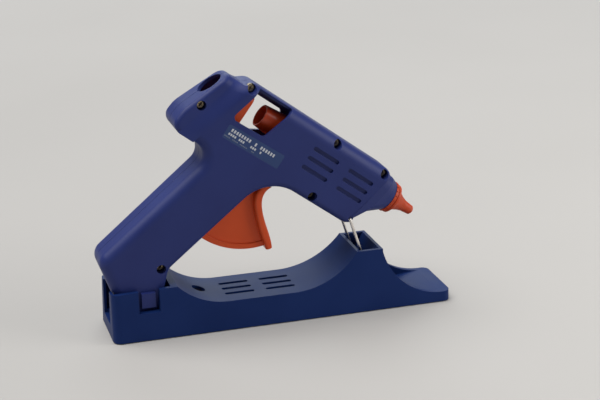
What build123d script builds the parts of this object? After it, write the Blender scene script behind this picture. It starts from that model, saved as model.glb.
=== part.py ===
from build123d import *
from math import cos, degrees, radians, sin, tan
import os

# A cordless hot-glue gun standing in its heating base. The gun is two screwed shells round a melt
# chamber; its foot plugs into the base and a wire stand under the barrel drops into a well.
# Millimetres. X points to the nozzle, Y to the left, Z up; the base is laid out from its rear
# bottom edge at X = 0, and everything is centred over the floor origin when it is written.

# ---------------------------------------------------------------- base: driving dimensions
base_length = 230.0
base_draft = 0.11            # each side wall leans in this much per unit of height
base_wall = 2.2
base_corner = 5.0            # rounding of the upright corners
rim_height = 32.8            # top of the rear tower that holds the gun's foot
rim_rise = 0.6               # the rim is this much lower at its rear, and higher at its front
hump_height = 41.9           # top of the front hump that holds the wire stand
scoop_height = 19.7          # the flat floor between tower and hump
toe_height = 7.2             # drip tray at the front
tower_length = 42.6
scoop_start = 75.5
scoop_end = 120.0
hump_start = 163.7
hump_end = 181.7
hump_lip = 1.9               # upright edge above the hump's front curve
tray_flat = 224.0
stand_off = 0.6              # the rubber feet hold the shell this far off the table
cavity_end = 188.0

socket_start = 1.8
socket_end = 38.4
socket_floor = 11.0
socket_base = 2.4            # thickness of the socket's floor
rear_slot_half = 10.5
rear_slot_floor = 9.0
notch_start = 17.2
notch_end = 30.7
notch_floor = 18.5

well_start = 165.9
well_deep_end = 173.8
well_end = 179.6
well_half = 15.7
well_floor = 27.6
well_step = 32.0

tray_start = 191.0
tray_half = 18.0
tray_floor = 5.8              # at its rear; it rises to the toe's top at its front

vent_length = 20.0
vent_width = 3.0
vent_pitch = 8.3
vent_starts = (75.9, 103.6)

cover_thickness = 2.0
cover_gap = 0.25
cover_screw_x = (50.0, 156.0)
cover_screw_y = 12.5
post_radius = 3.6
foot_radius = 4.0
foot_x = (14.0, 176.0)
foot_y = 14.0

lens_radius = 4.6
lens_sink = 1.6              # the lens sits this far below the surface
lens_x = 60.3
inlet_x = 62.0
inlet_z = 10.0
inlet_width = 15.0
inlet_height = 8.4
inlet_depth = 13.0

# ---------------------------------------------------------------- gun: driving dimensions
# Laid out with x along the stick's axis to the nozzle and z square to it, from the middle of the
# stick hole in the rear face; then tipped nose down and set over the base.
barrel_pitch = 36.0
gun_x = 69.8
gun_z = 160.1
barrel_top = 15.6
barrel_bottom = -29.1
barrel_half = 16.2
key_reach = barrel_half + 1.4
socket_half = barrel_half - 0.2   # the grip narrows by more than this on its way down
socket_side = 3.04            # wall beside the socket at the rim
base_width = 2 * (socket_half + socket_side + base_draft * rim_height)
barrel_round = 8.6
nose_top = 136.5
nose_crown = 12.6             # the nose starts this high, under the roof's front edge
nose_bottom = 127.0
nose_front = 149.0
nose_radius = 10.6
flank_draft = -0.0115        # the flanks change by this much per unit below the roof
house_top = 11.2
house_half = 11.2
house_round = 7.6
house_draft = 0.081
shoulder_slope = 0.307       # the shoulder leans this much forward per unit of height
shoulder_start = 7.5
shoulder_end = 19.0
shell_wall = 2.2
grip_edge = 4.0
back_edge = 6.5
house_edge = 3.0
seam = 0.3                   # width and depth of the parting groove
seam_depth = 0.4

stick_hole = 8.0
window_right = ((27.0, 14.8, 1), (53.2, 14.8, 1), (45.4, -9.4, 3), (20.4, -10.0, 3))
window_left = ((26.0, 9.3, 1), (58.0, 9.3, 3), (60.0, -5.0, 2), (40.0, -16.0, 2), (23.0, -18.5, 2))
window_reach = 9.0            # the windows are cut in to this distance from the middle
slot_length = 20.6
slot_width = 2.7
slot_depth = 1.7              # the cooling slots are blind
slot_starts = (78.2, 107.2)
slot_heights = (2.0, -4.8, -11.7)
label_corners = ((21.6, -13.3, 1), (64.6, -12.2, 1), (65.0, -21.9, 1), (22.0, -22.8, 1))
label_depth = 0.4

screw_places = ((0.5, -13.4), (22.0, 11.9), (91.5, 11.7), (131.6, 11.6), (96.8, -25.2),
                (38.4, -114.8))
boss_radius = 3.4
screw_head = 2.7
screw_shank = 1.4
head_height = 1.8
counterbore = 3.1
head_seat = 7.6              # the screw heads sit this far from the parting plane
screw_tip = 9.0
thread_gap = 0.05
rib_floor = -11.4
rib_places = ((61.6, 63.4), (74.0, 76.0), (122.0, 124.0))
casting_gap = 0.2            # the shells clear the hot casting by this much

# ---------------------------------------------------------------- moving pieces
pivot = (56.6, -36.6)        # trigger pin
pivot_pin = 1.5
hinge_gap = 0.05             # radial clearance of every running pin
trigger_turn = 25.0
trigger_radius = 50.0
trigger_rim = 3.3
blade_half = 2.1
rim_half = 3.1
pad_half = 6.6
hub_radius = 4.0
hub_half = 5.6
arm_half = 2.4
arm_rise = 20.6              # height of the carriage pin above the trigger pin
pin_radius = 1.5
pin_play = 0.2
guide_gap = 0.6
spring_wire = 0.45
spring_pitch = 0.94
spring_turns = 2.72
spring_start = 2.9            # the first turn lies this far from the parting plane
spring_aim = 125.0

carriage_back = 12.0
carriage_front = 29.5
carriage_half = 8.2
carriage_top = 8.2
carriage_bottom = -19.0
carriage_round = 4.5
stick_bore = 6.3
bar_half = 5.4
bar_top = -12.6
fork_half = 2.9
fork_start = 42.0
bar_end = 58.5
clamp_start = 20.0
clamp_thickness = 2.4
clamp_half = 6.9
clamp_pin = 1.0
clamp_hub = 2.0
clamp_pin_z = -11.6
clamp_room = 3.4             # room in front of the clamp for its tilt

stand_hinge = (129.4, -24.6)
stand_wire = 1.0
stand_half = 12.0
stand_foot = (171.5, 30.4)   # cross bar of the stand, in base coordinates
lug_radius = 4.0
lug_half = 9.4
stand_bore_depth = 2.6

# ---------------------------------------------------------------- melt chamber and nozzle
chamber_radius = 8.2
chamber_bore = 6.0
chamber_start = 60.0
chamber_end = 139.0
sleeve_mouth = 41.4
sleeve_bore = 5.8
sleeve_flare = 6.7
sleeve_lip = 7.5
sleeve_root = 9.2
sleeve_end = 72.0
heater_start = 84.0
heater_end = 118.0
heater_half = 6.0
heater_top = -10.6
heater_height = 3.6
heater_wall = 1.8
nozzle_tip = 171.0
nozzle_bore = 1.1
neck_radius = 4.6
cover_flange = 10.9
rim_notches = 20              # notches round each rim of the nozzle's cap

wire_radius = 0.9
contact_radius = 1.5
contact_spacing = 9.0
contact_x = 21.0
contact_gap = 0.3
sleeve_outer = 2.5
pin_end = 12.5               # the trigger pin reaches this far each side
foot_floor = 13.6            # underside of the gun's shells, in base coordinates
foot_top = 30.6              # top of the contact block inside the grip
key_start = 19.4
key_end = 28.6
key_floor = 20.8

gun_place = Location((gun_x, 0, gun_z), (0, barrel_pitch, 0))


# ---------------------------------------------------------------- helpers
def plate(corners):
    """Flat face from corners (x, z, rounding radius)."""
    face = make_face(Polyline(*[(x, z) for x, z, _ in corners], close=True))
    for x, z, radius in corners:
        if radius:
            face = fillet(face.vertices().sort_by_distance((x, z))[0], radius)
    return face


def prism(face, low, high):
    """A face drawn in (x, z), given width from y = low to y = high."""
    return Pos(0, high, 0) * extrude(Plane.XZ * face, high - low)


def box(x0, x1, y0, y1, z0, z1):
    centre = ((x0 + x1) / 2, (y0 + y1) / 2, (z0 + z1) / 2)
    return Pos(*centre) * Box(x1 - x0, y1 - y0, z1 - z0)


def rod_y(x, z, radius, low, high):
    """Round bar along Y."""
    return Pos(x, high, z) * extrude(Plane.XZ * Circle(radius), high - low)


def rod_x(start, end, radius):
    """Round bar along the stick's axis."""
    return Pos(start, 0, 0) * extrude(Plane.YZ * Circle(radius), end - start)


def turned(points):
    """Solid turned about the stick's axis from (x, radius) points."""
    face = make_face(Polyline(*points, close=True))
    return revolve(Plane.XZ * face, Axis.X)


def to_gun(x, z):
    """Base coordinates to the gun's own x and z."""
    turn = radians(barrel_pitch)
    dx, dz = x - gun_x, z - gun_z
    return dx * cos(turn) - dz * sin(turn), dx * sin(turn) + dz * cos(turn)


def wire(points, radius, bend):
    """Round wire through points, with rounded bends."""
    path = FilletPolyline(*points, radius=bend)
    start = Plane(origin=path @ 0, z_dir=path % 0)
    return sweep(start * Circle(radius), path=path)


# ---------------------------------------------------------------- base
def base_profile(floor):
    """Side view of the base, in (x, z)."""
    edges = [
        Line((0, floor), (0, rim_height - rim_rise)),
        Line((0, rim_height - rim_rise), (tower_length, rim_height + rim_rise)),
        TangentArc((scoop_start, scoop_height), (tower_length, rim_height + rim_rise), tangent=(-1, 0)),
        Line((scoop_start, scoop_height), (scoop_end, scoop_height)),
        TangentArc((scoop_end, scoop_height), (hump_start, hump_height), tangent=(1, 0)),
        Line((hump_start, hump_height), (hump_end, hump_height)),
        Line((hump_end, hump_height), (hump_end, hump_height - hump_lip)),
        TangentArc((tray_flat, toe_height), (hump_end, hump_height - hump_lip), tangent=(-1, 0)),
        Line((tray_flat, toe_height), (base_length, toe_height + 0.3)),
        Line((base_length, toe_height + 0.3), (base_length, floor)),
        Line((base_length, floor), (0, floor)),
    ]
    return make_face(edges)


def base_half(z):
    return base_width / 2 - base_draft * z


def base_block(inset, floor):
    """The base as a solid block, every face moved in by the inset."""
    top = hump_height + 10
    face = base_profile(floor)
    if inset:
        face = offset(face, amount=-inset)
    low, high = base_half(floor) - inset, base_half(top) - inset
    section = make_face(Polyline((-low, floor), (low, floor), (high, top), (-high, top), close=True))
    across = extrude(Plane.YZ * section, base_length + 20)
    return prism(face, -base_width, base_width) & across


def upright_corners(block):
    """The four upright edges of the base."""
    edges = [e for e in block.edges() if abs(e.tangent_at(0.5).Z) > 0.9]
    ends = [e for e in edges if e.center().X < 1 or e.center().X > base_length - 1]
    return [e for e in ends if abs(e.center().Y) > base_width / 4]


def well_face(grow):
    """Side view of the well in the hump, grown outwards."""
    top = hump_height + 10
    corners = [(well_start, top, 0), (well_start, well_floor, 0), (well_deep_end, well_floor, 0),
               (well_deep_end, well_step, 0), (well_end, hump_height, 0), (well_end, top, 0)]
    face = plate(corners)
    return offset(face, amount=grow, kind=Kind.INTERSECTION) if grow else face


def base_shell():
    outer = fillet(upright_corners(base_block(0, stand_off)), base_corner)
    cavity = base_block(base_wall, -30) & box(0, cavity_end, -40, 40, -40, 60)
    cavity -= box(0, tower_length + 1, -40, 40, socket_floor - socket_base, 60)
    cavity -= prism(well_face(base_wall), -well_half - base_wall, well_half + base_wall)
    for x in cover_screw_x:
        for y in (-cover_screw_y, cover_screw_y):
            cavity -= Pos(x, y, cover_top() + 20) * Cylinder(post_radius, 40)
    shell = outer - cavity
    shell -= box(socket_start, socket_end, -socket_half, socket_half, socket_floor, 60)
    shell -= box(-1, socket_start + 1, -rear_slot_half, rear_slot_half, rear_slot_floor, 60)
    shell -= box(notch_start, notch_end, -40, 40, notch_floor, 60)
    shell -= prism(well_face(0), -well_half, well_half)
    dish = [(tray_start, tray_floor, 0), (base_length - 4, toe_height + 0.2, 0),
            (base_length - 4, 60, 0), (tray_start, 60, 0)]
    tray = prism(plate(dish), -tray_half, tray_half)
    shell -= fillet(tray.edges().filter_by(Axis.Z), 6)
    for x in vent_starts:
        for y in (-vent_pitch, 0, vent_pitch):
            slot = Pos(x + vent_length / 2, y) * SlotOverall(vent_length, vent_width)
            shell -= Pos(0, 0, scoop_height - 10) * extrude(slot, 20)
    for x in cover_screw_x:
        for y in (-cover_screw_y, cover_screw_y):
            shell -= Pos(x, y, cover_top() + 4) * Cylinder(screw_shank + thread_gap, 8)
    shell -= lens_hole()
    shell -= inlet_block(3)
    shell -= contact_block_shape()
    return shell


def cover_top():
    return stand_off + cover_thickness


def base_cover():
    """Floor plate that closes the base from below, with holes for its screws."""
    inside = base_block(base_wall + cover_gap, -30)
    plate_slab = inside & box(0, cavity_end - cover_gap, -40, 40, stand_off, cover_top())
    for x in cover_screw_x:
        for y in (-cover_screw_y, cover_screw_y):
            plate_slab -= Pos(x, y, 0) * Cylinder(screw_shank + 0.2, 20)
            plate_slab -= Pos(x, y, stand_off) * Cylinder(screw_head + 0.3, 1.2)
    for x in foot_x:
        for y in (-foot_y, foot_y):
            plate_slab -= Pos(x, y, stand_off) * Cylinder(foot_radius, 1.6)
    return plate_slab


def cover_screws():
    screws = []
    for x in cover_screw_x:
        for y in (-cover_screw_y, cover_screw_y):
            head = Pos(x, y, stand_off + 0.3) * Cylinder(screw_head, 0.6)
            shank = Pos(x, y, stand_off + 4.3) * Cylinder(screw_shank, 7.4)
            screws.append(head + shank - Pos(x, y, stand_off) * cross_recess(0.35))
    return screws


def cross_recess(depth):
    """Cross-shaped driver recess, to be cut from a face at z = 0."""
    return Box(3.2, 0.8, 2 * depth) + Box(0.8, 3.2, 2 * depth)


def rubber_feet():
    feet = []
    for x in foot_x:
        for y in (-foot_y, foot_y):
            pad = Pos(x, y, (stand_off + 0.8) / 2) * Cylinder(foot_radius, stand_off + 0.8)
            feet.append(chamfer(pad.edges().sort_by(Axis.Z)[0], 0.3))
    return feet


def contact_block_shape():
    """Insulating block set in the socket's floor."""
    half = contact_spacing + 2
    return box(contact_x - 5, contact_x + 5, -half, half, cover_top() + 1, socket_floor)


def contact_places():
    return [(contact_x, y) for y in (-contact_spacing / 2, contact_spacing / 2)]


def contact_block():
    block = contact_block_shape()
    for x, y in contact_places():
        block -= Pos(x, y, socket_floor) * Cylinder(contact_radius, 60)
    return block


def contact_pins():
    """Two round pins that carry the mains up into the gun's foot."""
    low, high = cover_top() + 1, foot_floor + 8
    pins = []
    for x, y in contact_places():
        pin = Pos(x, y, (low + high) / 2) * Cylinder(contact_radius, high - low)
        pins.append(fillet(pin.edges().sort_by(Axis.Z)[-1], 1.0))
    return pins


def scoop_radius():
    """Radius of the rear curve of the scoop."""
    drop = rim_height + rim_rise - scoop_height
    run = scoop_start - tower_length
    return (run * run + drop * drop) / (2 * drop)


def lens_frame():
    """Frame on the rear curve of the scoop, with z square to the surface."""
    radius = scoop_radius()
    lean = (scoop_start - lens_x) / radius
    z = scoop_height + radius - (radius * radius - (scoop_start - lens_x) ** 2) ** 0.5
    up = (lean, 0, (1 - lean * lean) ** 0.5)
    return Plane(origin=(lens_x, 0, z), x_dir=(0, 1, 0), z_dir=up)


def lens_hole():
    return lens_frame() * Pos(0, 0, -2) * Cylinder(lens_radius, 12)


def pilot_lens():
    """Smoked lens of the mains lamp, set a little below the surface."""
    dome = lens_frame() * Pos(0, 0, -lens_sink - 0.6) * Cylinder(lens_radius - 0.05, 1.2)
    flange = lens_frame() * Pos(0, 0, -lens_sink - 1.7) * Cylinder(lens_radius + 1.2, 1.4)
    return fillet(dome.edges().sort_by(Axis.Z)[-1], 0.5) + flange


def neon_lamp():
    return lens_frame() * Pos(0, 0, -7) * Sphere(2.2) + lens_frame() * Pos(0, 0, -9) * Cylinder(2.2, 4)


def inlet_block(reach):
    """Body of the mains inlet in the left wall; reach is how far it runs out past its face."""
    outer = base_half(inlet_z) - 1
    face = Pos(inlet_x, inlet_z) * RectangleRounded(inlet_width, inlet_height, 2.5)
    return prism(face, outer - inlet_depth, outer + reach)


def inlet_socket():
    outer = base_half(inlet_z) - 1
    body = inlet_block(0)
    mouth = Pos(inlet_x, inlet_z) * RectangleRounded(inlet_width - 2.4, inlet_height - 2.4, 1.8)
    body -= prism(mouth, outer - inlet_depth + 3, outer + 3)
    for x in inlet_pin_x():
        body -= rod_y(x, inlet_z, 1.2, 0, outer)
    return body


def inlet_pin_x():
    return inlet_x - 3.6, inlet_x + 3.6


def inlet_pins():
    outer = base_half(inlet_z) - 1
    return [rod_y(x, inlet_z, 1.2, outer - inlet_depth - 2, outer - 3) for x in inlet_pin_x()]


def base_wires():
    """Two insulated leads from the inlet back to the contact block."""
    start_y = base_half(inlet_z) - 1 - inlet_depth - 2
    leads = []
    for x, side in zip(inlet_pin_x(), (-1, 1)):
        y = side * 3.0
        points = [(x, start_y, inlet_z), (x, start_y - 3, inlet_z), (x - 8, y, 6),
                  (contact_x + 12, y, 5.2), (contact_x + 5, y, 5.2)]
        leads.append(wire(points, wire_radius, 1.8))
    return leads


# ---------------------------------------------------------------- gun shells
def body_profile():
    """Side view of the whole gun body, in the gun's own (x, z)."""
    toe = to_gun(31.5, foot_floor)
    heel = to_gun(8.2, foot_floor)
    return plate([
        (5.4, house_top, 0), (17.5, house_top, 4), (22.5, barrel_top, 5),
        (nose_top, barrel_top, 3.5), (nose_bottom, barrel_bottom, 0), (64.3, barrel_bottom, 26.7),
        (43.2, -113.0, 9), (*toe, 0), (*heel, 0), (0.8, -130.9, 9), (24.6, -35.2, 10),
        (-8.7, -34.9, 6.6), (-8.0, -22.0, 20),
    ])


def section_face(step, inset, low):
    """Cross-section of the body on a plane that leans with the shoulder; step runs 0 to 1."""
    blend = step * step * (3 - 2 * step)
    lean = (1 + shoulder_slope ** 2) ** 0.5
    top = (house_top + (barrel_top - house_top) * blend - inset) * lean
    half = house_half + (barrel_half - house_half) * blend - inset
    draft = (house_draft + (flank_draft - house_draft) * blend) / lean
    spread = half + draft * (top - low)
    face = make_face(Polyline((-spread, low), (-half, top), (half, top), (spread, low), close=True))
    rounding = house_round + (barrel_round - house_round) * blend - inset
    return fillet(face.vertices().group_by(Axis.Y)[-1], rounding)


def shoulder_plane(x):
    """Plane across the body that leans with the shoulder and meets the axis at x."""
    return Plane(origin=(x, 0, 0), x_dir=(0, 1, 0), z_dir=(1, 0, -shoulder_slope))


def barrel_block(inset):
    """Straight part of the body: barrel and grip between flat flanks."""
    return extrude(shoulder_plane(shoulder_end) * section_face(1, inset, -190), 220, dir=(1, 0, 0))


def house_block(inset):
    """Narrower housing round the stick's way in."""
    return extrude(shoulder_plane(shoulder_start) * section_face(0, inset, -60), 60, dir=(-1, 0, 0))


def shoulder_block(inset):
    """Smooth step from the housing out to the barrel."""
    steps = 6
    span = shoulder_end - shoulder_start
    return loft([shoulder_plane(shoulder_start + span * i / steps) * section_face(i / steps, inset, -60)
                 for i in range(steps + 1)])


def nose(inset):
    """Front of the barrel, closing from its leaning section to the round nozzle mouth."""
    lean = (nose_top - nose_bottom) / (barrel_top - barrel_bottom)
    rise = nose_crown - barrel_bottom
    tall = rise * (1 + lean * lean) ** 0.5 / 2
    half = barrel_half + flank_draft * barrel_top
    rings = []
    for x, z, wide, tall, tilt, crown, sole in (
        (nose_bottom + lean * rise / 2, barrel_bottom + rise / 2, half, tall, lean, 8.6, grip_edge),
        (139.5, -2.35, 14.0, 15.15, 0.16, 9.0, 9.0),
        (144.5, -0.9, 12.0, 12.8, 0.06, 10.0, 10.0),
        (nose_front, 0, nose_radius, nose_radius, 0, nose_radius, nose_radius),
    ):
        plane = Plane(origin=(x, 0, z), x_dir=(0, 1, 0), z_dir=(1, 0, -tilt))
        rings.append(plane * ring_face(wide - inset, tall - inset, crown, sole))
    return loft(rings, ruled=True)


def ring_face(wide, tall, crown, sole):
    """Rectangle given by its half sizes, its upper and lower corners rounded apart."""
    most = wide - 0.1
    face = make_face(Polyline((-wide, -tall), (-wide, tall), (wide, tall), (wide, -tall), close=True))
    face = fillet(face.vertices().group_by(Axis.Y)[-1], min(crown, most))
    return fillet(face.vertices().group_by(Axis.Y)[0], min(sole, most))


def side_view(inset):
    face = body_profile()
    return prism(offset(face, amount=-inset) if inset else face, -30, 30)


def body_inside(inset):
    """The gun's form with every face moved in, edges left sharp."""
    return (barrel_block(inset) + house_block(inset) + shoulder_block(inset)) & side_view(inset)


def on_outline(shape, low, high):
    """Edges where a flank meets the side outline, with middles between two x, z corners."""
    found = [e for e in shape.edges() if abs(e.center().Y) > barrel_half / 2]
    found = [e for e in found if low[0] < e.center().X < high[0] and low[1] < e.center().Z < high[1]]
    return [e for e in found if not leans_with_shoulder(e)]


def leans_with_shoulder(edge):
    """True for an edge that lies in one leaning cross-section."""
    places = [v.X - shoulder_slope * v.Z for v in edge.vertices()]
    return max(places) - min(places) < 0.05


def body_outside():
    """The gun's outer form with its moulded edge roundings."""
    side = side_view(0)
    grip = barrel_block(0) & side
    grip = fillet(on_outline(grip, (43, -130), (125, barrel_bottom + 1)), grip_edge)
    grip = fillet(on_outline(grip, (0, -150), (22, -34)), back_edge)
    house = house_block(0) & side
    rear = on_outline(house, (-10, -34), (5, 10)) + [e for e in house.edges() if is_rear_top(e)]
    return grip + fillet(rear, house_edge) + (shoulder_block(0) & side)


def is_rear_top(edge):
    """True for the straight top edge of the rear face."""
    middle = edge.center()
    return abs(middle.Y) < 0.01 and abs(middle.Z - house_top) < 0.01 and middle.X < shoulder_start


def flank_cut(corners, side):
    """Opening through one flank; side is -1 for the right shell, 1 for the left."""
    low, high = sorted((side * window_reach, side * 30))
    return prism(plate(corners), low, high)


def half_room(side):
    return (-30, 0) if side < 0 else (0, 30)


def blank_shell(side, outer, inside):
    """One half of the body with its ribs, posts and lug, before its holes."""
    half = box(-40, 200, *half_room(side), -200, 40)
    shell = (outer - inside) & half
    for x, z in screw_places:
        shell += rod_y(x, z, boss_radius, *half_room(side)) & outer
    for x0, x1 in rib_places:
        shell += box(x0, x1, *half_room(side), rib_floor, 20) & outer
    low, high = sorted((side * (hub_half + guide_gap), side * 30))
    shell += rod_y(*pivot, pivot_pin + 2.2, low, high) & outer
    lug = rod_y(*stand_hinge, lug_radius, *sorted((0, side * (lug_half + 1))))
    return shell + lug


def foot_slots(side):
    """Openings for the stand's legs and the bores for its ends."""
    low, high = sorted((side * lug_half, side * (stand_half + stand_wire + 0.7)))
    x, z = stand_hinge
    slot = box(x - lug_radius - 0.4, x + 6.5, low, high, z - 12, z + lug_radius + 0.4)
    low, high = sorted((side * (lug_half - stand_bore_depth), side * (lug_half + 1)))
    mouth = box(x - 2, x + 8, *sorted((side * lug_half, side * 30)), z - 12, z + 2)
    return slot + mouth + rod_y(x, z, stand_wire + hinge_gap, low, high)


def trigger_room():
    """Slot through the front of the grip for the trigger's blade."""
    x, z = pivot
    sector = plate([(x - 14, z + 4.5, 0), (x + 17, z + 2.5, 0), (x + 45, z - 10, 0),
                    (x + 45, z - 60, 0), (x - 14, z - 60, 0)])
    half = rim_half + guide_gap
    return rod_y(x, z, trigger_radius + 1.2, -half, half) & prism(sector, -half, half)


def gun_shells():
    """Right and left shell of the gun."""
    outer = body_outside() + nose(0)
    inside = body_inside(shell_wall) + nose(shell_wall)
    groove = (body_inside(0) - body_inside(seam_depth)) & box(-40, 200, -seam / 2, seam / 2, -200, 40)
    slab = outer - body_inside(label_depth)
    label = slab & prism(plate(label_corners), -30, 0)
    shells = []
    for side, window in ((-1, window_right), (1, window_left)):
        shell = blank_shell(side, outer, inside) - groove - trigger_room()
        shell -= flank_cut(window, side)
        shell -= rod_x(-30, 12, stick_hole)
        shell -= rod_x(chamber_start, nose_front + 5, chamber_radius + casting_gap)
        shell -= rod_x(chamber_start, sleeve_end + 1, sleeve_root + 1)
        for x in slot_starts:
            for z in slot_heights:
                slot = Pos(x + slot_length / 2, z) * SlotOverall(slot_length, slot_width)
                shell -= prism(slot, *sorted((side * (barrel_half - slot_depth), side * 30)))
        shell -= foot_slots(side)
        shell -= rod_y(*pivot, pivot_pin, *sorted((0, side * pin_end)))
        shell -= foot_block_shape()
        shells.append(shell)
    right, left = shells
    right -= label
    for x, z in screw_places:
        right -= rod_y(x, z, screw_shank + 0.2, -30, 0)
        right -= rod_y(x, z, counterbore, -30, -head_seat)
        left -= rod_y(x, z, screw_shank + thread_gap, -1, screw_tip + 0.5)
    return right, left, label


def shell_screws():
    """Self-tapping screws, put in from the right."""
    screws = []
    for x, z in screw_places:
        head = rod_y(x, z, screw_head, -head_seat - head_height, -head_seat)
        head = fillet(head.edges().sort_by(Axis.Y)[0], 0.7)
        recess = Pos(x, -head_seat - head_height, z) * Rot(90, 45, 0) * cross_recess(0.9)
        screws.append(head - recess + rod_y(x, z, screw_shank, -head_seat, screw_tip))
    return screws


# ---------------------------------------------------------------- heating parts
def nozzle_cover():
    """Rubbery orange cap over the hot nozzle, with two rims against the shells."""
    cap = turned([
        (nose_front + 0.2, neck_radius + 0.2), (nose_front + 0.2, cover_flange),
        (nose_front + 1.8, cover_flange), (nose_front + 2.1, cover_flange - 1.1),
        (nose_front + 3.0, cover_flange - 1.1), (nose_front + 3.3, cover_flange - 0.6),
        (nose_front + 4.5, cover_flange - 0.6), (nose_front + 4.9, cover_flange - 2.3),
        (nose_front + 7.4, 6.9), (nose_front + 11.0, 5.1), (nose_front + 14.6, 3.9),
        (nozzle_tip - 1.0, 3.2), (nozzle_tip, 2.2), (nozzle_tip, 1.9),
        (nozzle_tip - 3, 1.9), (nose_front + 12.0, 2.9), (nose_front + 4.0, neck_radius + 0.2),
    ])
    for i in range(rim_notches):
        notch = Pos(nose_front + 2.4, 0, cover_flange) * Box(6, 0.9, 1.0)
        cap -= Rot(360 * i / rim_notches, 0, 0) * notch
    return cap


def nozzle():
    """Brass nozzle screwed on the melt chamber."""
    return turned([
        (chamber_end, nozzle_bore), (chamber_end, 6.5), (chamber_end + 4, 6.5),
        (chamber_end + 4, neck_radius), (nose_front + 4.0, neck_radius),
        (nose_front + 12.0, 2.7), (nozzle_tip - 3, 1.8), (nozzle_tip + 0.2, 1.8),
        (nozzle_tip + 0.6, nozzle_bore),
    ])


def melt_chamber():
    """Aluminium casting: a tube for the stick and a pocket under it for the heater."""
    tube = rod_x(chamber_start, chamber_end, chamber_radius)
    low = heater_top - heater_height - heater_wall
    half = heater_half + heater_wall
    tube += box(heater_start, heater_end, -half, half, low, 0)
    tube -= rod_x(chamber_start - 1, heater_end + 4, chamber_bore)
    tube -= rod_x(heater_end, chamber_end + 1, 2.0)
    return tube - box(heater_start - 1, heater_end + 1, -heater_half, heater_half,
                      heater_top - heater_height, heater_top)


def heater_element():
    """Ceramic heating stone in its pocket."""
    return box(heater_start + 2, heater_end - 2, -heater_half + 0.3, heater_half - 0.3,
               heater_top - heater_height + 0.7, heater_top)


def heater_insulation():
    """Mica strip under the heating stone."""
    low = heater_top - heater_height
    return box(heater_start + 1, heater_end - 1, -heater_half + 0.2, heater_half - 0.2, low, low + 0.6)


def heater_clip():
    """Spring-steel clip that keeps the heater's pocket shut."""
    half = heater_half + heater_wall
    low = heater_top - heater_height - heater_wall
    x0, x1 = heater_start + 10, heater_end - 10
    outer = box(x0, x1, -half - 0.8, half + 0.8, low - 0.8, -8.6)
    return outer - box(x0 - 1, x1 + 1, -half, half, low, 0)


def inlet_sleeve():
    """Orange silicone sleeve that guides and seals the stick."""
    return turned([
        (sleeve_mouth, sleeve_flare), (sleeve_mouth, sleeve_lip), (sleeve_mouth + 1.2, sleeve_lip + 0.15),
        (chamber_start - 1, sleeve_root), (sleeve_end, sleeve_root + 0.5), (sleeve_end, chamber_radius),
        (chamber_start, chamber_radius), (chamber_start, sleeve_bore), (sleeve_mouth + 6, sleeve_bore),
    ])


def sleeve_clamp():
    """Wire ring round the sleeve where it grips the chamber."""
    middle = (chamber_start + sleeve_end) / 2 + 1.5
    ring = revolve(Plane.XZ * Pos(middle, sleeve_root + 1.3) * Circle(0.7), Axis.X)
    return ring


def heater_wires():
    """Two leads from the foot's contacts up the grip to the heater."""
    leads = []
    heater_middle = heater_top - (heater_height - 0.7) / 2
    for side in (-1, 1):
        first_x, first_z = to_gun(contact_x, foot_top)
        second_x, second_z = to_gun(contact_x, foot_top + 6)
        y = side * contact_spacing / 2
        out = side * 9.6
        points = [(first_x, y, first_z), (second_x, y, second_z), (29, out, -104), (35, out, -70),
                  (46, out, -33), (60, out, -24), (heater_start - 8, side * 6, heater_top - 3),
                  (heater_start - 2, side * 2.5, heater_middle),
                  (heater_start + 2, side * 2.5, heater_middle)]
        leads.append(wire(points, wire_radius, 2.0))
    return leads


# ---------------------------------------------------------------- foot of the gun
def foot_block_shape():
    """Insulating block in the end of the grip, in the gun's frame, with its two side keys."""
    block = box(12.5, 28.9, -11.5, 11.5, socket_floor, foot_top)
    block += box(key_start, key_end, -key_reach, key_reach, key_floor, foot_top)
    return gun_place.inverse() * block


def foot_block():
    block = foot_block_shape()
    for x, y in contact_places():
        tube = gun_place.inverse() * Pos(x, y, foot_floor + 4) * Cylinder(sleeve_outer, 20)
        block -= tube
    return block


def foot_contacts():
    """Brass sockets that slide over the base's pins."""
    sockets = []
    for x, y in contact_places():
        tube = Pos(x, y, foot_floor + 4) * Cylinder(sleeve_outer, 10)
        tube -= Pos(x, y, foot_floor + 4) * Cylinder(contact_radius + contact_gap, 12)
        sockets.append(gun_place.inverse() * tube)
    return sockets


# ---------------------------------------------------------------- moving pieces
def pad_face():
    """Side view of the finger pad: a thick curved band."""
    front = [(73.9, -34.8), (72.4, -42.0), (78.2, -51.3), (88.4, -59.8), (98.2, -68.4)]
    back = [(95.4, -71.6), (87.0, -65.4), (74.3, -54.4), (67.4, -44.6), (68.4, -36.0)]
    return make_face([Spline(*front), Line(front[-1], back[0]), Spline(*back), Line(back[-1], front[0])])


def blade_face(radius, inner):
    """Side view of the blade out to a radius, cut back to an inner radius when that is given."""
    x, z = pivot
    turns = [radians(-41.8 - 13.6 * i) for i in range(6)]
    rim = [(x + radius * cos(turn), z + radius * sin(turn)) for turn in turns]
    arc = ThreePointArc(rim[0], rim[2], rim[-1])
    web = [rim[-1], (x - 2, z - 3), (x, z + 3), (71.0, -37.0), (70.2, -44.6), (76.0, -53.2),
           (88.0, -63.4), rim[0]]
    face = make_face([arc, *Polyline(*web).edges()])
    return face - Pos(x, z) * Circle(inner) if inner else face


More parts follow.
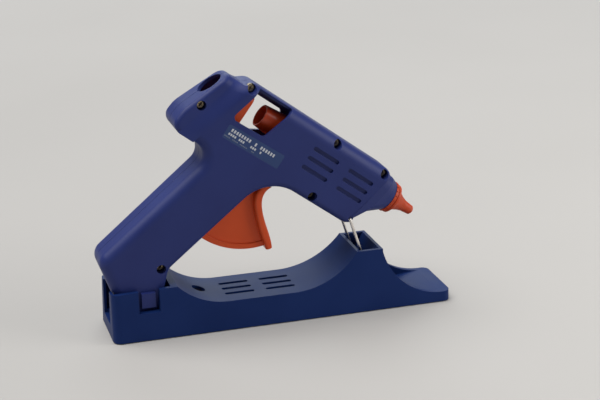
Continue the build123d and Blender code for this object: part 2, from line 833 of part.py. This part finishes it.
def trigger():
    """Orange trigger: finger pad, thin blade with a rim, hub and slotted arm."""
    x, z = pivot
    pad = prism(pad_face(), -pad_half, pad_half)
    long_edges = [e for e in pad.edges() if abs(abs(e.center().Y) - pad_half) < 0.01 and e.length > 20]
    body_solid = fillet(long_edges, 1.8)
    body_solid += prism(blade_face(trigger_radius, 0), -blade_half, blade_half)
    body_solid += prism(blade_face(trigger_radius, trigger_radius - trigger_rim), -rim_half, rim_half)
    body_solid += rod_y(x, z, hub_radius, -hub_half, hub_half)
    arm = box(-4, 4, -arm_half, arm_half, 0, arm_rise + 3.9)
    half = pin_radius + pin_play
    arm -= box(-half, half, -arm_half - 1, arm_half + 1, arm_rise - half - 0.4, arm_rise + half + 1.0)
    body_solid += Pos(x, 0, z) * Rot(0, -trigger_turn / 2, 0) * arm
    return body_solid - rod_y(x, z, pivot_pin + hinge_gap, -pad_half, pad_half)


def trigger_pin():
    return rod_y(*pivot, pivot_pin, -pin_end, pin_end)


def return_spring():
    """Torsion spring round the trigger's hub, with one leg on the blade and one in the grip."""
    x, z = pivot
    coil = Helix(spring_pitch, spring_pitch * spring_turns, hub_radius + spring_wire + 0.1)
    front = Line(coil @ 0 - (coil % 0) * 8, coil @ 0)
    back = Line(coil @ 1, coil @ 1 + (coil % 1) * 14)
    path = Wire([front, coil, back])
    spring = sweep(Plane(path @ 0, z_dir=path % 0) * Circle(spring_wire), path=path)
    return Pos(x, spring_start, z) * Rot(0, spring_aim, 0) * Rot(-90, 0, 0) * spring


def carriage_pin_x():
    """Where the trigger's arm holds the cross pin at rest."""
    return pivot[0] - arm_rise * tan(radians(trigger_turn / 2))


def carriage():
    """Orange slider that holds the stick and carries it forward."""
    block = box(carriage_back, carriage_front, -carriage_half, carriage_half, carriage_bottom, carriage_top)
    tops = [e for e in block.edges().filter_by(Axis.X) if e.center().Z > 0]
    block = fillet(tops, carriage_round)
    block -= rod_x(0, 60, stick_bore)
    room = clamp_half + 0.3
    block -= box(clamp_x() - clamp_hub - 0.3, clamp_start + clamp_thickness + clamp_room,
                 -room, room, clamp_pin_z - clamp_hub - 0.4, 20)
    bar = box(carriage_front - 1, bar_end, -bar_half, bar_half, carriage_bottom, bar_top)
    bar -= box(fork_start, bar_end + 1, -fork_half, fork_half, carriage_bottom - 1, bar_top + 1)
    slider = block + bar
    slider -= rod_y(carriage_pin_x(), pivot[1] + arm_rise, pin_radius, -bar_half, bar_half)
    return slider - rod_y(clamp_x(), clamp_pin_z, clamp_pin, -carriage_half, carriage_half)


def clamp_x():
    return clamp_start + clamp_thickness / 2


def carriage_pin():
    return rod_y(carriage_pin_x(), pivot[1] + arm_rise, pin_radius, -bar_half, bar_half)


def stick_clamp():
    """Steel plate that tips forward and bites the stick."""
    clamp = box(clamp_start, clamp_start + clamp_thickness, -clamp_half, clamp_half,
                clamp_pin_z, carriage_top - 1.2)
    tops = [e for e in clamp.edges().filter_by(Axis.X) if e.center().Z > 0]
    clamp = fillet(tops, carriage_round)
    clamp -= rod_x(0, 60, stick_bore - 0.1)
    clamp += rod_y(clamp_x(), clamp_pin_z, clamp_hub, -clamp_half, clamp_half)
    return clamp - rod_y(clamp_x(), clamp_pin_z, clamp_pin + hinge_gap, -20, 20)


def clamp_pivot():
    return rod_y(clamp_x(), clamp_pin_z, clamp_pin, -carriage_half, carriage_half)


def wire_stand():
    """Bent steel wire: two legs joined by a cross bar, its ends turned in to the lug."""
    x, z = stand_hinge
    foot_x_gun, foot_z_gun = to_gun(*stand_foot)
    end = lug_half - stand_bore_depth + 0.2
    points = []
    for side in (-1, 1):
        leg = [(x, side * end, z), (x, side * stand_half, z), (foot_x_gun, side * stand_half, foot_z_gun)]
        points += leg if side < 0 else leg[::-1]
    return wire(points, stand_wire, 2.2)


# ---------------------------------------------------------------- writing the parts
def make_parts():
    right, left, label = gun_shells()
    on_base = {
        "base_shell": base_shell(), "base_cover": base_cover(), "base_cover_screws": cover_screws(),
        "rubber_feet": rubber_feet(), "contact_block": contact_block(),
        "contact_pins": contact_pins(), "pilot_lens": pilot_lens(), "neon_lamp": neon_lamp(),
        "mains_inlet": inlet_socket(), "inlet_pins": inlet_pins(), "base_wires": base_wires(),
    }
    on_gun = {
        "right_shell": right, "left_shell": left, "label_plate": label,
        "shell_screws": shell_screws(), "nozzle_cover": nozzle_cover(), "nozzle": nozzle(),
        "melt_chamber": melt_chamber(), "heater_element": heater_element(),
        "heater_insulation": heater_insulation(), "heater_clip": heater_clip(),
        "inlet_sleeve": inlet_sleeve(), "sleeve_clamp": sleeve_clamp(),
        "heater_wires": heater_wires(), "foot_block": foot_block(), "foot_contacts": foot_contacts(),
        "trigger_pin": trigger_pin(), "trigger": trigger(), "return_spring": return_spring(),
        "carriage": carriage(), "carriage_pin": carriage_pin(), "stick_clamp": stick_clamp(),
        "clamp_pin": clamp_pivot(), "wire_stand": wire_stand(),
    }
    placed = dict(on_base)
    for name, shape in on_gun.items():
        placed[name] = [gun_place * s for s in shape] if isinstance(shape, list) else gun_place * shape
    return {name: Compound(s) if isinstance(s, list) else s for name, s in placed.items()}


parts = make_parts()
low_x = min(shape.bounding_box().min.X for shape in parts.values())
high_x = max(shape.bounding_box().max.X for shape in parts.values())
middle = (low_x + high_x) / 2
os.makedirs("parts", exist_ok=True)
for name, shape in parts.items():
    export_step(Pos(-middle, 0, 0) * shape, f"parts/{name}.step")
print("X of the base's rear edge:", round(-middle, 4))
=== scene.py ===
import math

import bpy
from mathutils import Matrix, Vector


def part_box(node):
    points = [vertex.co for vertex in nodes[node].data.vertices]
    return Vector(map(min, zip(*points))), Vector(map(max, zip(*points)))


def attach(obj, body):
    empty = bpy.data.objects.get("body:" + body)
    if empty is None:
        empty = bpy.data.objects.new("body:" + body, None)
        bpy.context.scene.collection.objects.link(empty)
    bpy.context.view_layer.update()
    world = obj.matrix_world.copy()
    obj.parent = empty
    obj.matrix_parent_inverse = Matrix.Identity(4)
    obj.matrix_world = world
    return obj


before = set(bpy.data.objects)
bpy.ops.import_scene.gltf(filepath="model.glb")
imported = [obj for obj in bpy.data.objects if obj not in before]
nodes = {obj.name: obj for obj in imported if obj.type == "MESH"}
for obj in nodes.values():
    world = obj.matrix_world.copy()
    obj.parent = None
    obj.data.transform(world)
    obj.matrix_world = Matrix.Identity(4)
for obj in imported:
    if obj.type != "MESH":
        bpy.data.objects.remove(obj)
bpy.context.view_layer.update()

# %% [markdown]
# # A glue gun standing in its base
#
# The CAD model comes in as a fixed frame: every part is where it belongs, in metres, but bare.
# This notebook gives each part its finish, models the small pieces that want a maker's hand,
# and sets up the camera and the light.

# %% [markdown]
# ## The gun's own frame
#
# The barrel leans down by 36 degrees, so a point is easiest to give as (along, out, up):
# along the barrel from the stick hole, out to the left side, and up from the barrel's axis.
# One helper turns that into a place in the room, and every piece on the gun uses it.

# %% Places on the gun
BARREL_LEAN = math.radians(36)
PIN_ALONG, PIN_UP = 56.6, -36.6      # the trigger pin's place on the gun, in millimetres
MM_IN_M = 1000


def lean(along, up):
    """A step along and up the barrel as a step in X and Z, in the same unit."""
    cos_lean, sin_lean = math.cos(BARREL_LEAN), math.sin(BARREL_LEAN)
    return cos_lean * along + sin_lean * up, cos_lean * up - sin_lean * along


def find_gun_origin():
    """The stick hole's place on the barrel axis, worked out from the trigger pin's middle."""
    low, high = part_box("trigger_pin")
    pin = (low + high) / 2
    x, z = lean(PIN_ALONG, PIN_UP)
    return Vector((pin.x - x / MM_IN_M, 0, pin.z - z / MM_IN_M))


gun_origin = find_gun_origin()


def on_gun(along, out, up):
    """A place on the gun, given in millimetres, as a point in the room in metres."""
    x, z = lean(along, up)
    return gun_origin + Vector((x, out, z)) / MM_IN_M


print("gun origin:", tuple(round(c, 4) for c in gun_origin))

# %% [markdown]
# ## Moulded plastic
#
# The shells and the base are moulded in a spark-eroded tool, which leaves a very fine grain.
# The grain is a small noise used as bump. A larger, slow noise moves the colour and the
# roughness a little, as handled plastic does. A rounded-edge normal softens the corners that
# the tool would never leave knife-sharp. What is the same all over is set on the shader itself.

# %% Helper: a node tree to build in
def new_material(name):
    """An empty node material with its tree and its shader."""
    material = bpy.data.materials.new(name)
    material.use_nodes = True
    tree = material.node_tree
    tree.nodes.clear()
    output = tree.nodes.new("ShaderNodeOutputMaterial")
    shader = tree.nodes.new("ShaderNodeBsdfPrincipled")
    tree.links.new(shader.outputs["BSDF"], output.inputs["Surface"])
    return material, tree, shader


def noise_on_object(tree, scale, detail, rough=0.5):
    """Noise on object coordinates; scale is waves per metre."""
    place = tree.nodes.new("ShaderNodeTexCoord")
    noise = tree.nodes.new("ShaderNodeTexNoise")
    noise.inputs["Scale"].default_value = scale
    noise.inputs["Detail"].default_value = detail
    noise.inputs["Roughness"].default_value = rough
    tree.links.new(place.outputs["Object"], noise.inputs["Vector"])
    return noise


def ramp_between(tree, source, low, high, start=0.35, stop=0.65):
    """Colour ramp from one colour to another over a stretch of the source."""
    ramp = tree.nodes.new("ShaderNodeValToRGB")
    first, last = ramp.color_ramp.elements
    first.position, last.position = start, stop
    first.color, last.color = (*low, 1), (*high, 1)
    tree.links.new(source, ramp.inputs["Fac"])
    return ramp.outputs["Color"]


def span_between(tree, source, low, high, start=0.3, stop=0.7):
    """Number that runs from low to high over a stretch of the source."""
    span = tree.nodes.new("ShaderNodeMapRange")
    span.inputs["From Min"].default_value = start
    span.inputs["From Max"].default_value = stop
    span.inputs["To Min"].default_value = low
    span.inputs["To Max"].default_value = high
    tree.links.new(source, span.inputs["Value"])
    return span.outputs["Result"]


def bump_from(tree, source, depth, strength):
    """Bump of a depth in metres, joined to nothing but its source."""
    bump = tree.nodes.new("ShaderNodeBump")
    bump.inputs["Strength"].default_value = strength
    bump.inputs["Distance"].default_value = depth
    tree.links.new(source, bump.inputs["Height"])
    return bump


print("materials that came with the frame:", len(bpy.data.materials))

# %% Moulded plastic, rubber and silicone
HANDLING_WAVES = 28       # slow changes from handling, waves per metre
GRAIN_WAVES = 1600        # the tool's grain, waves per metre


def moulded(name, dark, light, roughness, grain=0.00004, edge=0.0004, sheen=0.25):
    """Moulded finish: two close colours, a span of roughness, grain depth and edge rounding in metres."""
    material, tree, shader = new_material(name)
    shader.inputs["Specular IOR Level"].default_value = sheen
    slow = noise_on_object(tree, HANDLING_WAVES, 3).outputs["Fac"]
    tree.links.new(ramp_between(tree, slow, dark, light), shader.inputs["Base Color"])
    tree.links.new(span_between(tree, slow, *roughness), shader.inputs["Roughness"])
    fine = noise_on_object(tree, GRAIN_WAVES, 2, 0.6).outputs["Fac"]
    bump = bump_from(tree, fine, grain, strength=0.5)
    soft_edge = tree.nodes.new("ShaderNodeBevel")
    soft_edge.samples = 4
    soft_edge.inputs["Radius"].default_value = edge
    tree.links.new(soft_edge.outputs["Normal"], bump.inputs["Normal"])
    tree.links.new(bump.outputs["Normal"], shader.inputs["Normal"])
    return material


gun_blue = moulded("gun_blue", (0.014, 0.024, 0.132), (0.017, 0.029, 0.148), (0.42, 0.52), sheen=0.28)
base_blue = moulded("base_blue", (0.005, 0.019, 0.096), (0.007, 0.023, 0.110), (0.40, 0.50), sheen=0.12)
trigger_orange = moulded("trigger_orange", (0.62, 0.070, 0.014), (0.68, 0.082, 0.017), (0.32, 0.42),
                         grain=0.00002)
silicone_orange = moulded("silicone_orange", (0.46, 0.054, 0.014), (0.52, 0.064, 0.018), (0.38, 0.5),
                          grain=0.00003, edge=0.0002)
# painted shade: the sleeve is the nozzle cover's silicone, coloured darker here for the shade it sits in
# inside the window
sleeve_orange_painted_shade = moulded("sleeve_orange_painted_shade", (0.44, 0.042, 0.008), (0.50, 0.050, 0.011), (0.25, 0.35),
                        grain=0.00002, edge=0.0002, sheen=0.45)
black_moulding = moulded("black_moulding", (0.018, 0.018, 0.02), (0.026, 0.026, 0.028), (0.4, 0.55))
foot_rubber = moulded("foot_rubber", (0.016, 0.016, 0.016), (0.024, 0.023, 0.022), (0.7, 0.85),
                      grain=0.00008)
label_film = moulded("label_film", (0.024, 0.050, 0.150), (0.030, 0.058, 0.168), (0.3, 0.36),
                     grain=0.00001, edge=0.0001)
lead_sleeve = moulded("lead_sleeve", (0.42, 0.05, 0.03), (0.48, 0.06, 0.035), (0.5, 0.6), edge=0.0001)

silicone_shader = silicone_orange.node_tree.nodes["Principled BSDF"]
silicone_shader.inputs["Subsurface Weight"].default_value = 0.12
silicone_shader.inputs["Subsurface Radius"].default_value = (0.002, 0.0008, 0.0004)
print("materials, with the moulded ones:", len(bpy.data.materials))

# %% [markdown]
# ## Metals, ceramic and glass
#
# Metals are bright where they are turned and streaked where they are drawn or rolled.
# A noise stretched along one direction gives the streaks; its roughness moves with them.
# The heater's ceramic is chalky, and the lamp's glass is smoked.

# %% Metals
# painted shade: the bottom of each tool mark is coloured darker than its top, by this factor
HOLLOW_PAINTED_SHADE = 0.86       # how dark the bottom of a tool mark is beside its top


def metal(name, tint, roughness, stretch=(1, 1, 1), wave=900, scratch=0.00001):
    """Worked metal: tint, span of roughness, and the stretch of its tool marks along X, Y and Z."""
    material, tree, shader = new_material(name)
    shader.inputs["Metallic"].default_value = 1.0
    noise = noise_on_object(tree, wave, 3)
    squeeze = tree.nodes.new("ShaderNodeMapping")
    squeeze.inputs["Scale"].default_value = stretch
    place = noise.inputs["Vector"].links[0].from_socket
    tree.links.new(place, squeeze.inputs["Vector"])
    tree.links.new(squeeze.outputs["Vector"], noise.inputs["Vector"])
    marks = noise.outputs["Fac"]
    # painted shade: the darker colour goes to the hollows of the tool marks
    dark = tuple(c * HOLLOW_PAINTED_SHADE for c in tint)
    tree.links.new(ramp_between(tree, marks, dark, tint), shader.inputs["Base Color"])
    tree.links.new(span_between(tree, marks, *roughness), shader.inputs["Roughness"])
    bump = bump_from(tree, marks, scratch, strength=0.4)
    tree.links.new(bump.outputs["Normal"], shader.inputs["Normal"])
    return material


# dull zinc-yellow screws; the tint is also darkened as painted shade for the deep holes the heads sit in
zinc_screw_painted_shade = metal("zinc_screw_painted_shade", (0.34, 0.28, 0.19), (0.3, 0.45), wave=1400)
bright_wire = metal("bright_wire", (0.74, 0.70, 0.66), (0.18, 0.32), stretch=(1, 1, 0.08))
spring_steel = metal("spring_steel", (0.42, 0.42, 0.44), (0.3, 0.45), stretch=(0.1, 1, 1))
turned_brass = metal("turned_brass", (0.78, 0.56, 0.22), (0.2, 0.34), stretch=(0.1, 1, 1))
cast_aluminium = metal("cast_aluminium", (0.66, 0.66, 0.67), (0.42, 0.6), wave=500, scratch=0.00006)
print("materials, with the metals:", len(bpy.data.materials))

# %% Ceramic, mica and smoked glass
HAZE_WAVES = 300          # faint clouding in the glass, waves per metre
HAZE_GAIN, HAZE_LIFT = 1.3, 0.005         # how much lighter the clouded places are


def smoked(name, tint, roughness, clear):
    """Tinted glass that lets some light through."""
    material, tree, shader = new_material(name)
    shader.inputs["Roughness"].default_value = roughness
    shader.inputs["Transmission Weight"].default_value = clear
    haze = noise_on_object(tree, HAZE_WAVES, 2).outputs["Fac"]
    lighter = tuple(min(1, c * HAZE_GAIN + HAZE_LIFT) for c in tint)
    tree.links.new(ramp_between(tree, haze, tint, lighter), shader.inputs["Base Color"])
    return material


heater_stone = moulded("heater_stone", (0.70, 0.67, 0.60), (0.80, 0.77, 0.70), (0.8, 0.9), grain=0.0001)
mica_strip = moulded("mica_strip", (0.42, 0.33, 0.2), (0.55, 0.45, 0.3), (0.3, 0.5), grain=0.00002)
smoked_lens = smoked("smoked_lens", (0.012, 0.012, 0.016), 0.12, 0.3)
lamp_glass = smoked("lamp_glass", (0.85, 0.55, 0.42), 0.08, 0.8)
print("materials, with all finishes:", sorted(m.name for m in bpy.data.materials))

# %% [markdown]
# ## Giving the CAD parts their finish
#
# A CAD part keeps its mesh exactly. Only the material in its slots changes, so the table below
# is the whole step: finish on the left, the parts that wear it on the right.

# %% Dress the CAD parts
FINISHES = {
    gun_blue: ["right_shell", "left_shell", "foot_block"],
    base_blue: ["base_shell", "base_cover"],
    trigger_orange: ["trigger", "carriage"],
    silicone_orange: ["nozzle_cover"],
    sleeve_orange_painted_shade: ["inlet_sleeve"],
    black_moulding: ["contact_block", "mains_inlet"],
    foot_rubber: ["rubber_feet"],
    label_film: ["label_plate"],
    lead_sleeve: ["base_wires", "heater_wires"],
    zinc_screw_painted_shade: ["shell_screws", "base_cover_screws"],
    bright_wire: ["wire_stand", "trigger_pin", "carriage_pin", "clamp_pin"],
    spring_steel: ["return_spring", "heater_clip", "sleeve_clamp", "stick_clamp"],
    turned_brass: ["nozzle", "contact_pins", "inlet_pins", "foot_contacts"],
    cast_aluminium: ["melt_chamber"],
    heater_stone: ["heater_element"],
    mica_strip: ["heater_insulation"],
    smoked_lens: ["pilot_lens"],
    lamp_glass: ["neon_lamp"],
}
for finish, names in FINISHES.items():
    for name in names:
        slots = nodes[name].data.materials
        slots.clear()
        slots.append(finish)
dressed = sum(len(names) for names in FINISHES.values())
print("dressed parts:", dressed, "of", len(nodes))

# %% [markdown]
# ## Print on the label
#
# The real label is a printed film with three rows of pale words. Words belong to a maker, so
# this one carries rows of plain strokes instead, set out in groups like words. An image
# texture could draw them, but real geometry keeps its edge in every export. For each row one
# stroke is modelled from a cube and rounded, and copies of it are laid out along the barrel.
# The top row's strokes are rounded on every edge and look a little smaller than they measure;
# in the other two rows only the four short edges, through the thickness, are rounded.

# %% Inks for the print
pale_ink = moulded("pale_ink", (0.46, 0.48, 0.53), (0.56, 0.58, 0.63), (0.45, 0.55),
                   grain=0.000005, edge=0.00003)
grey_ink = moulded("grey_ink", (0.13, 0.16, 0.24), (0.17, 0.20, 0.28), (0.45, 0.55),
                   grain=0.000005, edge=0.00003)
print("inks:", pale_ink.name, grey_ink.name)

# %% Helper: one printed stroke
STROKE_DEEP = 0.5         # from its sunk back to its printed face, in millimetres
CORNER_ROUND = 0.00025    # rounding of a stroke's edges, in metres


def clear_selection():
    """Leave edit mode and let go of everything, before a new piece is started."""
    if bpy.context.object and bpy.context.object.mode != "OBJECT":
        bpy.ops.object.mode_set(mode="OBJECT")
    bpy.ops.object.select_all(action="DESELECT")


def printed_stroke(wide, tall):
    """A flat upright bar at the world's middle, sizes in millimetres, with its four short edges rounded.

    The first bar made is rounded on all twelve edges: Blender still picks by vertices then, and
    the ends of the four short edges are the ends of all the others too.
    """
    clear_selection()
    bpy.ops.mesh.primitive_cube_add(size=0.001, location=(0, 0, 0))
    stroke = bpy.context.object
    bpy.ops.transform.resize(value=(wide, STROKE_DEEP, tall))
    bpy.ops.object.transform_apply(location=True, rotation=True, scale=True)
    bpy.ops.object.mode_set(mode="EDIT")
    bpy.ops.mesh.select_all(action="DESELECT")
    bpy.ops.object.mode_set(mode="OBJECT")
    points = stroke.data.vertices
    for edge in stroke.data.edges:
        start, end = (points[i].co for i in edge.vertices)
        edge.select = abs(start.y - end.y) > STROKE_DEEP / MM_IN_M / 2
    bpy.ops.object.mode_set(mode="EDIT")
    bpy.ops.mesh.select_mode(type="EDGE")
    bpy.ops.mesh.bevel(offset=CORNER_ROUND, segments=2, affect="EDGES")
    bpy.ops.object.mode_set(mode="OBJECT")
    return stroke


print("a stroke is", STROKE_DEEP, "mm deep, with corners of", CORNER_ROUND * MM_IN_M, "mm")

# %% Lay the strokes out in rows
FLANK_AT_ROOF = 16.2      # half width of the barrel where the flanks meet the roof
FLANK_LEAN = 0.0115       # the flanks come in by this much for each millimetre down
ROOF = 15.6               # where that is above the barrel's axis
STROKE_SINK = 0.17        # a stroke's middle lies this far inside the flank


def flank_out(up):
    """How far out the right flank is at a height above the barrel's axis, in millimetres."""
    return -(FLANK_AT_ROOF - FLANK_LEAN * (ROOF - up))


def print_row(name, up, wide, tall, pitch, words, ink):
    """A row of strokes: words are (start, end) pairs along the barrel."""
    pattern = printed_stroke(wide, tall)
    strokes = []
    for start, end in words:
        for i in range(int((end - start) / pitch) + 1):
            stroke = pattern.copy()
            stroke.data = pattern.data.copy()
            stroke.rotation_euler = (0, BARREL_LEAN, 0)
            stroke.location = on_gun(start + i * pitch, flank_out(up) + STROKE_SINK, up)
            bpy.context.scene.collection.objects.link(stroke)
            strokes.append(stroke)
    bpy.data.objects.remove(pattern)
    clear_selection()
    for stroke in strokes:
        stroke.select_set(True)
    bpy.context.view_layer.objects.active = strokes[0]
    bpy.ops.object.join()
    row = bpy.context.object
    bpy.ops.object.transform_apply(location=True, rotation=True, scale=True)
    row.name = name
    row.data.materials.clear()
    row.data.materials.append(ink)
    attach(row, "gun")
    return row, len(strokes)


# Name, height on the barrel, stroke width, height and pitch, words, ink; all in millimetres.
LABEL_ROWS = (
    ("label_print_top", -15.9, 1.35, 2.3, 1.95,
     ((25.4, 40.6), (43.8, 44.2), (48.2, 58.4)), pale_ink),
    ("label_print_middle", -18.7, 1.1, 1.5, 1.55,
     ((24.8, 30.6), (32.8, 36.4), (42.0, 46.4), (49.4, 50.0)), pale_ink),
    ("label_print_low", -20.9, 0.8, 0.75, 1.15,
     ((22.9, 27.4), (29.0, 33.4), (35.0, 39.6), (44.0, 45.4)), grey_ink),
)
for label_row in LABEL_ROWS:
    row, count = print_row(*label_row)
    print(row.name, "strokes:", count, "faces:", len(row.data.polygons))

# %% [markdown]
# ## Floor, light and camera
#
# The set is a pale table that runs out of sight. A ceiling of very soft light brightens the
# tops and leaves the near sides dim. A panel beyond the nozzle, on the near side, lights what
# faces forward. A large cool window far behind lifts the table there, enough to burn it out to
# white when the set is seen from the other side. A dim sky fills in the rest.
# The camera is a long lens a little above the gun, so the lines hardly converge.

# %% Pale table
TABLE_SIDE = 14           # metres
TABLE_MIDDLE = (0, 3, 0)  # set back, so that most of it lies behind the gun
PAPER_WAVES = 3           # slow mottling, waves per metre


def pale_table():
    """Large plain floor under the base."""
    bpy.ops.object.select_all(action="DESELECT")
    bpy.ops.mesh.primitive_plane_add(size=TABLE_SIDE, location=TABLE_MIDDLE)
    floor = bpy.context.object
    floor.name = "pale_table"
    material, tree, shader = new_material("table_paper")
    shader.inputs["Roughness"].default_value = 0.9
    shader.inputs["Specular IOR Level"].default_value = 0.1
    paper = noise_on_object(tree, PAPER_WAVES, 2).outputs["Fac"]
    dark, light = (0.420, 0.408, 0.394), (0.430, 0.418, 0.404)
    tree.links.new(ramp_between(tree, paper, dark, light), shader.inputs["Base Color"])
    floor.data.materials.append(material)
    return floor


print("table:", [round(side, 2) for side in pale_table().dimensions])


# %% Sky and soft lights
def add_lamp(name, kind, power, tint):
    """A lamp of one kind in the scene, still at the world's middle."""
    data = bpy.data.lights.new(name, kind)
    data.energy, data.color = power, tint
    lamp = bpy.data.objects.new(name, data)
    bpy.context.scene.collection.objects.link(lamp)
    return lamp


def soft_light(name, place, aim, size, power, tint):
    """Square area light looking at a point; size in metres, power in watts."""
    lamp = add_lamp(name, "AREA", power, tint)
    lamp.data.size = size
    lamp.location = place
    lamp.rotation_euler = (Vector(aim) - Vector(place)).to_track_quat("-Z", "Y").to_euler()


def ceiling(name, towards, spread, strength, tint):
    """Very soft light from one side of the sky, the same all over the table; spread in degrees."""
    lamp = add_lamp(name, "SUN", strength, tint)
    lamp.data.angle = math.radians(spread)
    lamp.rotation_euler = Vector(towards).to_track_quat("Z", "Y").to_euler()


def studio_sky(tint, strength):
    """Even dim light from all round."""
    world = bpy.data.worlds.new("studio_sky")
    world.use_nodes = True
    sky = world.node_tree.nodes["Background"]
    sky.inputs["Color"].default_value = (*tint, 1)
    sky.inputs["Strength"].default_value = strength
    bpy.context.scene.world = world


studio_sky(tint=(0.93, 0.96, 1.0), strength=0.20)
soft_light("side_panel", place=(1.0, -0.45, 0.45), aim=(0.05, 0, 0.05), size=0.7, power=6.5,
           tint=(1.0, 0.99, 0.97))
ceiling("ceiling", towards=(-0.36, 0.08, 0.93), spread=60, strength=3.5, tint=(1.0, 0.99, 0.975))
soft_light("far_window", place=(0.7, 3.2, 1.7), aim=(0.1, 0.2, 0), size=2.6, power=36,
           tint=(0.86, 0.95, 1.0))
bpy.context.scene.view_settings.view_transform = "Standard"
print("lights:", [lamp.name for lamp in bpy.data.lights])

# %% Camera
SENSOR_WIDTH, LENS = 36, 84.21            # millimetres
CAMERA_AIM = (0.017336, 0, 0.07571)       # the middle of what is seen, in metres
TURN, RISE = -17.84, 19.81                # degrees round from the right side, and up
REACH = 0.91633                           # metres from the camera to its aim


def long_lens_camera():
    """Camera that looks at the middle of the gun from the right and a little above."""
    data = bpy.data.cameras.new("camera")
    data.sensor_width, data.lens = SENSOR_WIDTH, LENS
    camera = bpy.data.objects.new("camera", data)
    aim, turn, rise = Vector(CAMERA_AIM), math.radians(TURN), math.radians(RISE)
    camera.location = aim + REACH * Vector((math.sin(turn) * math.cos(rise),
                                            -math.cos(turn) * math.cos(rise), math.sin(rise)))
    camera.rotation_euler = (aim - camera.location).to_track_quat("-Z", "Y").to_euler()
    bpy.context.scene.collection.objects.link(camera)
    bpy.context.scene.camera = camera
    return camera


camera = long_lens_camera()
print("camera at", tuple(round(c, 3) for c in camera.location))
